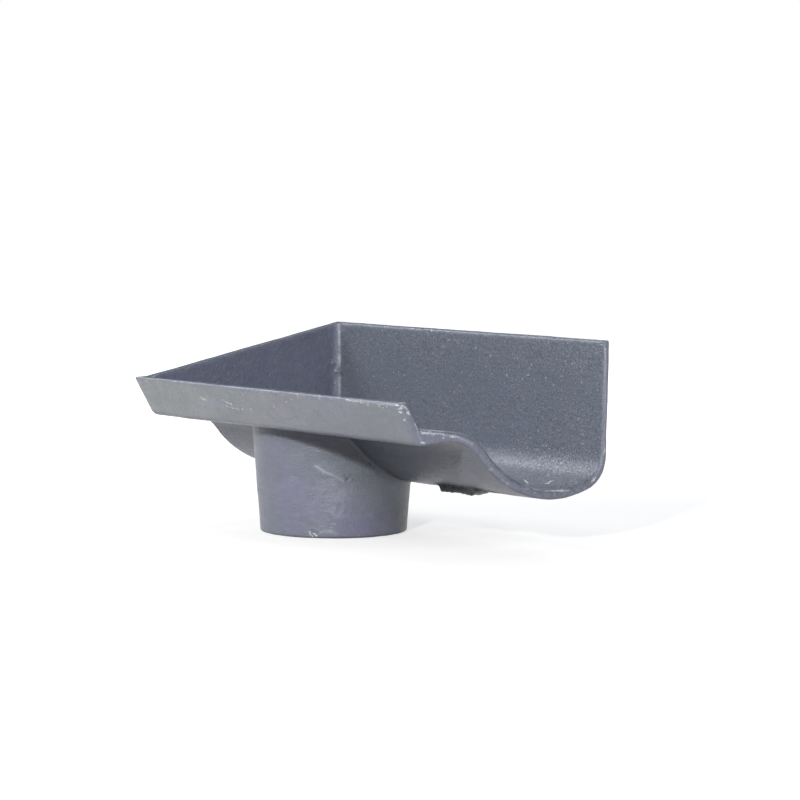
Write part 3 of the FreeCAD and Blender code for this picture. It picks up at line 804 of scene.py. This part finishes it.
add("ShaderNodeOutputMaterial", {"Surface": shown})
table.data.materials.append(white)
table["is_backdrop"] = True
print("table:", TABLE_SIZE, "m wide")

# %% [markdown]
# The room is white for the lens. For the casting it is almost dark with a cool tint, because the
# soft boxes below are to give its light.
# %% White room
ROOM_TINT = (0.9, 0.94, 1.0, 1)
ROOM_LIGHT = 0.03
WHITE = (1, 1, 1, 1)

world = bpy.data.worlds.new("white room")
scene.world = world
world.use_nodes = True
tree = world.node_tree
tree.nodes.clear()
room = add("ShaderNodeBackground", {"Color": ROOM_TINT, "Strength": ROOM_LIGHT})
paper = add("ShaderNodeBackground", {"Color": WHITE, "Strength": 1.0})
shown = add("ShaderNodeMixShader", {0: add("ShaderNodeLightPath", out="Is Camera Ray"), 1: room, 2: paper})
add("ShaderNodeOutputWorld", {"Surface": shown})
print("room:", world.name)

# %% [markdown]
# ## Light
# Two small boxes throw the crisp shadow of the fascia's foot across the spigot, one straight in
# front of the fascia and a stronger one further to the right. A wider one at the front left fills
# in. Large soft ones on the left and the right light the inside of the channel, a weak one hangs
# above, and one behind lights the side that the lens doesn't see. Each is given by how bright it
# makes a white card that faces it, matched to the casting's own shades.
# %% What a soft box is
AIM = (0.02, 0, 0.045)  # near the middle of the casting


def soft_box(name, turned, height_angle, distance, width, height, brightness, tint):
    """A rectangle of light, turned by degrees from +X towards +Y, at an angle above the table."""
    data = bpy.data.lights.new(name, "AREA")
    data.shape = "RECTANGLE"
    data.size, data.size_y = width, height
    data.color = tint
    # A small lamp of P watts makes a white card as bright as P / (4 pi distance^2).
    data.energy = brightness * 4 * math.pi * distance ** 2
    lamp = bpy.data.objects.new(name, data)
    turn, rise = math.radians(turned), math.radians(height_angle)
    direction = Vector((math.cos(turn) * math.cos(rise), math.sin(turn) * math.cos(rise), math.sin(rise)))
    lamp.location = Vector(AIM) + direction * distance
    lamp.rotation_mode = "QUATERNION"
    lamp.rotation_quaternion = direction.to_track_quat("Z", "Y")
    scene.collection.objects.link(lamp)
    print(name, "at", [round(c, 2) for c in lamp.location], round(data.energy, 2), "W")


# %% Hang the soft boxes
# distance, width and height of a box, in metres
SMALL, WIDER, LARGE = (1.0, 0.07, 0.05), (1.0, 0.30, 0.20), (1.3, 0.60, 0.45)
WARM, COOL = (1.0, 0.985, 0.955), (0.93, 0.95, 1.0)

soft_box("front left box", -92, 21, *SMALL, 0.12, WARM)
soft_box("front right box", -52, 19, *SMALL, 0.56, WARM)
soft_box("high left box", -173, 37, *LARGE, 0.36, COOL)
soft_box("left box", -122, 25, *WIDER, 0.15, COOL)
soft_box("right box", 4, 28, *LARGE, 0.27, COOL)
soft_box("top box", 0, 90, *LARGE, 0.06, COOL)
soft_box("box behind", 118, 38, *LARGE, 0.26, COOL)
scene.view_settings.view_transform = "Standard"

visual_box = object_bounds()
growth = [round((v - c) / MM, 2) for a, b in zip(visual_box, cad_box) for v, c in zip(a, b)]
print("box grows by, mm:", growth)
